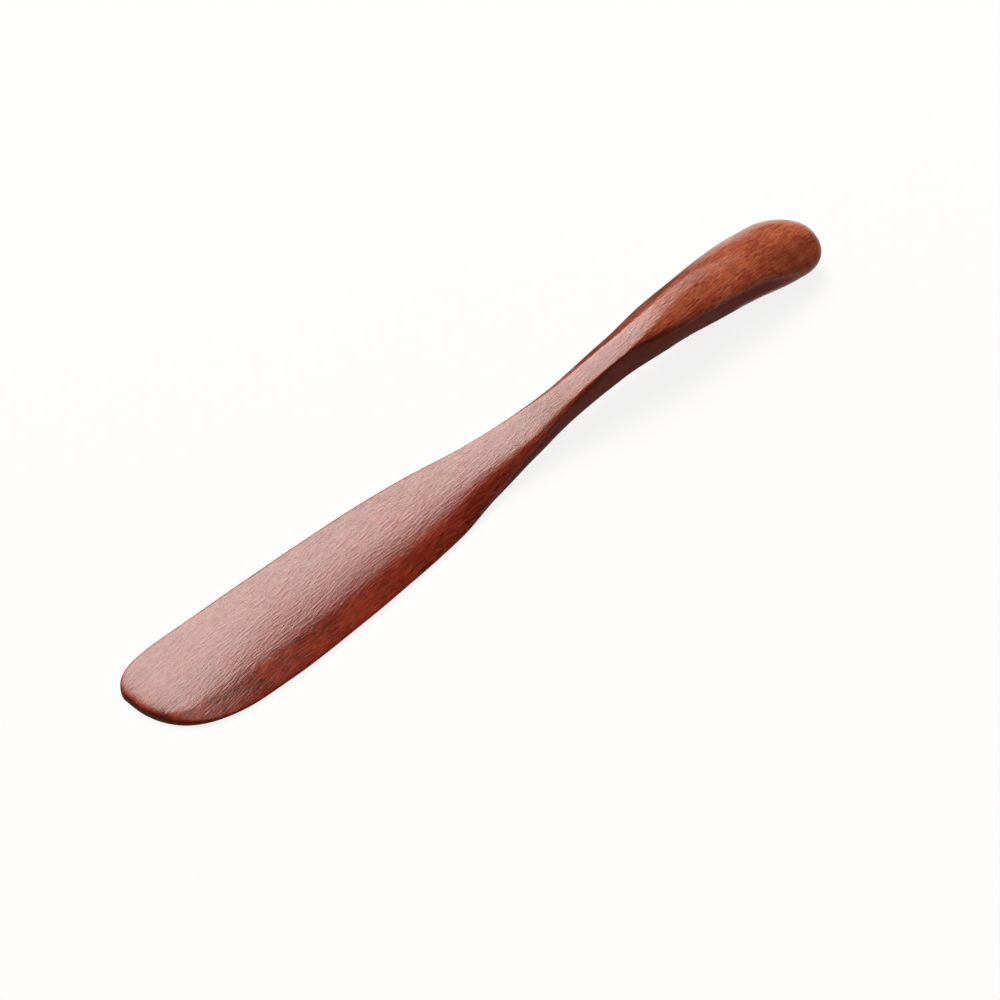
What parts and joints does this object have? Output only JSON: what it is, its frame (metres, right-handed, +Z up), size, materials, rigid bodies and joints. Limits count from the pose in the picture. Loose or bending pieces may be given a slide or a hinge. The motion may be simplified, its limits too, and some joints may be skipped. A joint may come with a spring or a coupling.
{
  "type": "butter knife",
  "caption": "Butter knife in one piece of stained and lacquered wood, with a broad rounded blade, a slim faceted neck and a round handle.",
  "frame": {"origin": "below the middle of the knife's length and width, on the plane it rests on", "axes": "+X from the tip of the blade to the end of the handle, +Y towards the blade's back, +Z up from the table"},
  "size_m": [0.17, 0.0216, 0.0115],
  "materials": {
    "lacquered_wood": "satin lacquer over a red-brown stain"
  },
  "bodies": {
    "root": {"wooden_knife": "lacquered_wood"}
  },
  "joints": []
}
